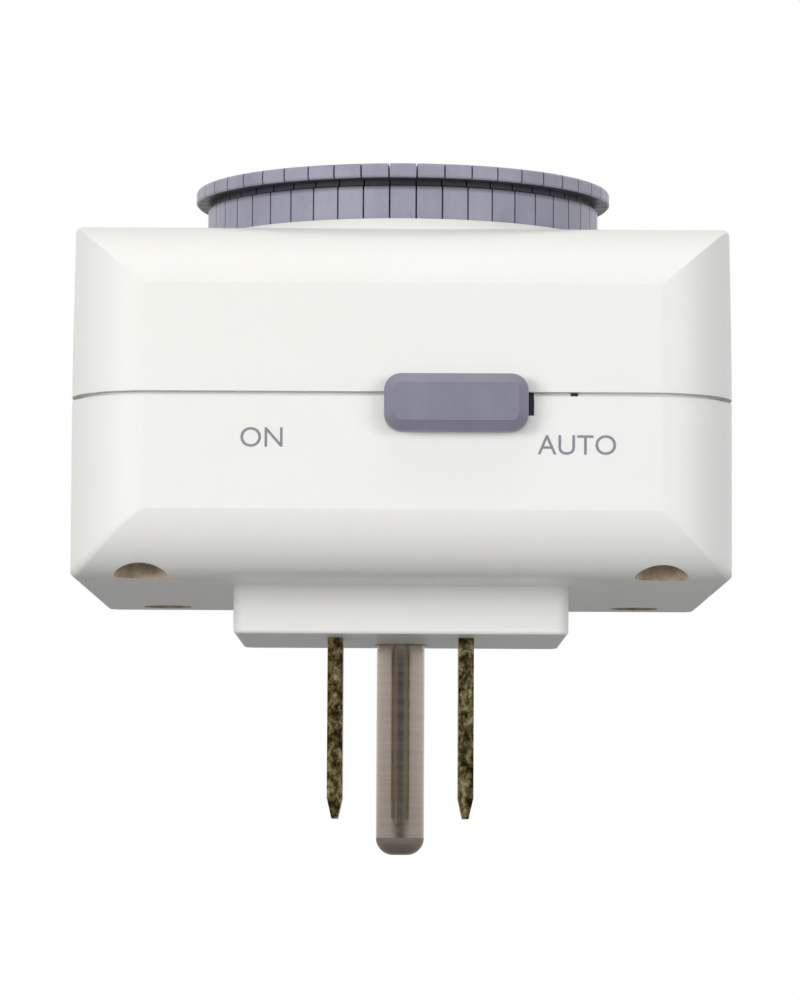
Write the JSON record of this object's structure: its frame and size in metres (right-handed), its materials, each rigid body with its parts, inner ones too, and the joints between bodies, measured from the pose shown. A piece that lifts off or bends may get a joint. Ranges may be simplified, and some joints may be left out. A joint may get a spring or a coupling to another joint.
{
  "type": "plug-in timer switch",
  "caption": "Boxy plug-in mechanical timer: pillowed white case, ring of push-down half-hour segments round a dial, slide switch on one side, grounded plug behind.",
  "frame": {"origin": "middle of the housing, in the wall face of the plug block", "axes": "+Z away from the wall to the dial, +Y to the outlet side, -Y to the slide switch"},
  "size_m": [0.062, 0.0648, 0.0664],
  "materials": {
    "white_case": "moulded ABS, satin gloss, warm white",
    "grey_plastic": "moulded ABS, lavender grey, semi gloss",
    "dial_print": "printed disc",
    "plated_blade": "punched brass, thin nickel plate",
    "nickel_pin": "turned brass, nickel plate",
    "plated_screw": "zinc plated steel",
    "steel": "bright steel",
    "motor_steel": "drawn plated sheet",
    "natural_nylon": "natural nylon or acetal",
    "black_plastic": "moulded phenolic",
    "brass": "stamped brass strip"
  },
  "bodies": {
    "housing": {"rear_housing": "white_case", "front_cover": "white_case", "housing_screws": "plated_screw", "line_blade": "plated_blade", "neutral_blade": "plated_blade", "ground_pin": "nickel_pin", "dial_post": "steel", "dial_retainer": "steel", "pointer_hub": "white_case", "mechanism_plate": "natural_nylon", "plate_screws": "plated_screw", "motor_can": "motor_steel", "motor_gearbox": "natural_nylon", "motor_screws": "plated_screw", "switch_body": "black_plastic", "lever_pin": "steel", "slider_spring": "steel", "outlet_face": "white_case", "contact_carrier": "black_plastic", "line_contact": "brass", "neutral_contact": "brass", "ground_contact": "brass", "neutral_strap": "brass", "ground_strap": "brass", "line_strap": "brass", "load_strap": "brass"},
    "dial": {"timing_drum": "grey_plastic", "dial_face": "dial_print"},
    "pinion": {"drive_pinion": "natural_nylon"},
    "lever": {"trip_lever": "natural_nylon"},
    "plunger": {"switch_plunger": "natural_nylon"},
    "slider": {"mode_slider": "grey_plastic"},
    "hour_00": {"trippers_hour_00": "grey_plastic"},
    "hour_01": {"trippers_hour_01": "grey_plastic"},
    "hour_02": {"trippers_hour_02": "grey_plastic"},
    "hour_03": {"trippers_hour_03": "grey_plastic"},
    "hour_04": {"trippers_hour_04": "grey_plastic"},
    "hour_05": {"trippers_hour_05": "grey_plastic"},
    "hour_06": {"trippers_hour_06": "grey_plastic"},
    "hour_07": {"trippers_hour_07": "grey_plastic"},
    "hour_08": {"trippers_hour_08": "grey_plastic"},
    "hour_09": {"trippers_hour_09": "grey_plastic"},
    "hour_10": {"trippers_hour_10": "grey_plastic"},
    "hour_11": {"trippers_hour_11": "grey_plastic"},
    "hour_12": {"trippers_hour_12": "grey_plastic"},
    "hour_13": {"trippers_hour_13": "grey_plastic"},
    "hour_14": {"trippers_hour_14": "grey_plastic"},
    "hour_15": {"trippers_hour_15": "grey_plastic"},
    "hour_16": {"trippers_hour_16": "grey_plastic"},
    "hour_17": {"trippers_hour_17": "grey_plastic"},
    "hour_18": {"trippers_hour_18": "grey_plastic"},
    "hour_19": {"trippers_hour_19": "grey_plastic"},
    "hour_20": {"trippers_hour_20": "grey_plastic"},
    "hour_21": {"trippers_hour_21": "grey_plastic"},
    "hour_22": {"trippers_hour_22": "grey_plastic"},
    "hour_23": {"trippers_hour_23": "grey_plastic"}
  },
  "joints": [
    {"name": "dial_turn", "type": "hinge", "parent": "housing", "child": "dial", "pos_m": [0, -0.0032, 0.035], "axis": [0, 0, 1], "continuous": true},
    {"name": "pinion_turn", "type": "hinge", "parent": "housing", "child": "pinion", "pos_m": [0.016, -0.0032, 0.029], "axis": [0, 0, 1], "continuous": true},
    {"name": "trip_lever_tilt", "type": "hinge", "parent": "housing", "child": "lever", "pos_m": [-0.0186, -0.012, 0.0282], "axis": [1, 0, 0], "range_deg": [-6, 0], "stiffness_Nm_per_rad": 0.002, "springref_deg": 2.86},
    {"name": "plunger_press", "type": "slide", "parent": "housing", "child": "plunger", "axis": [0, 0, 1], "range_m": [-0.00065, 0]},
    {"name": "mode_slide", "type": "slide", "parent": "housing", "child": "slider", "axis": [1, 0, 0], "range_m": [-0.006, 0]},
    {"name": "push_hour_00", "type": "slide", "parent": "dial", "child": "hour_00", "axis": [0, 0, 1], "range_m": [-0.0028, 0]},
    {"name": "push_hour_01", "type": "slide", "parent": "dial", "child": "hour_01", "axis": [0, 0, 1], "range_m": [-0.0028, 0]},
    {"name": "push_hour_02", "type": "slide", "parent": "dial", "child": "hour_02", "axis": [0, 0, 1], "range_m": [-0.0028, 0]},
    {"name": "push_hour_03", "type": "slide", "parent": "dial", "child": "hour_03", "axis": [0, 0, 1], "range_m": [-0.0028, 0]},
    {"name": "push_hour_04", "type": "slide", "parent": "dial", "child": "hour_04", "axis": [0, 0, 1], "range_m": [-0.0028, 0]},
    {"name": "push_hour_05", "type": "slide", "parent": "dial", "child": "hour_05", "axis": [0, 0, 1], "range_m": [-0.0028, 0]},
    {"name": "push_hour_06", "type": "slide", "parent": "dial", "child": "hour_06", "axis": [0, 0, 1], "range_m": [-0.0028, 0]},
    {"name": "push_hour_07", "type": "slide", "parent": "dial", "child": "hour_07", "axis": [0, 0, 1], "range_m": [-0.0028, 0]},
    {"name": "push_hour_08", "type": "slide", "parent": "dial", "child": "hour_08", "axis": [0, 0, 1], "range_m": [-0.0028, 0]},
    {"name": "push_hour_09", "type": "slide", "parent": "dial", "child": "hour_09", "axis": [0, 0, 1], "range_m": [-0.0028, 0]},
    {"name": "push_hour_10", "type": "slide", "parent": "dial", "child": "hour_10", "axis": [0, 0, 1], "range_m": [-0.0028, 0]},
    {"name": "push_hour_11", "type": "slide", "parent": "dial", "child": "hour_11", "axis": [0, 0, 1], "range_m": [-0.0028, 0]},
    {"name": "push_hour_12", "type": "slide", "parent": "dial", "child": "hour_12", "axis": [0, 0, 1], "range_m": [-0.0028, 0]},
    {"name": "push_hour_13", "type": "slide", "parent": "dial", "child": "hour_13", "axis": [0, 0, 1], "range_m": [-0.0028, 0]},
    {"name": "push_hour_14", "type": "slide", "parent": "dial", "child": "hour_14", "axis": [0, 0, 1], "range_m": [-0.0028, 0]},
    {"name": "push_hour_15", "type": "slide", "parent": "dial", "child": "hour_15", "axis": [0, 0, 1], "range_m": [-0.0028, 0]},
    {"name": "push_hour_16", "type": "slide", "parent": "dial", "child": "hour_16", "axis": [0, 0, 1], "range_m": [-0.0028, 0]},
    {"name": "push_hour_17", "type": "slide", "parent": "dial", "child": "hour_17", "axis": [0, 0, 1], "range_m": [-0.0028, 0]},
    {"name": "push_hour_18", "type": "slide", "parent": "dial", "child": "hour_18", "axis": [0, 0, 1], "range_m": [-0.0028, 0]},
    {"name": "push_hour_19", "type": "slide", "parent": "dial", "child": "hour_19", "axis": [0, 0, 1], "range_m": [-0.0028, 0]},
    {"name": "push_hour_20", "type": "slide", "parent": "dial", "child": "hour_20", "axis": [0, 0, 1], "range_m": [-0.0028, 0]},
    {"name": "push_hour_21", "type": "slide", "parent": "dial", "child": "hour_21", "axis": [0, 0, 1], "range_m": [-0.0028, 0]},
    {"name": "push_hour_22", "type": "slide", "parent": "dial", "child": "hour_22", "axis": [0, 0, 1], "range_m": [-0.0028, 0]},
    {"name": "push_hour_23", "type": "slide", "parent": "dial", "child": "hour_23", "axis": [0, 0, 1], "range_m": [-0.0028, 0]}
  ],
  "couplings": [
    {"joint": "pinion_turn", "follows": "dial_turn", "ratio": -3},
    {"joint": "plunger_press", "follows": "trip_lever_tilt", "m_per_rad": 0.006}
  ]
}
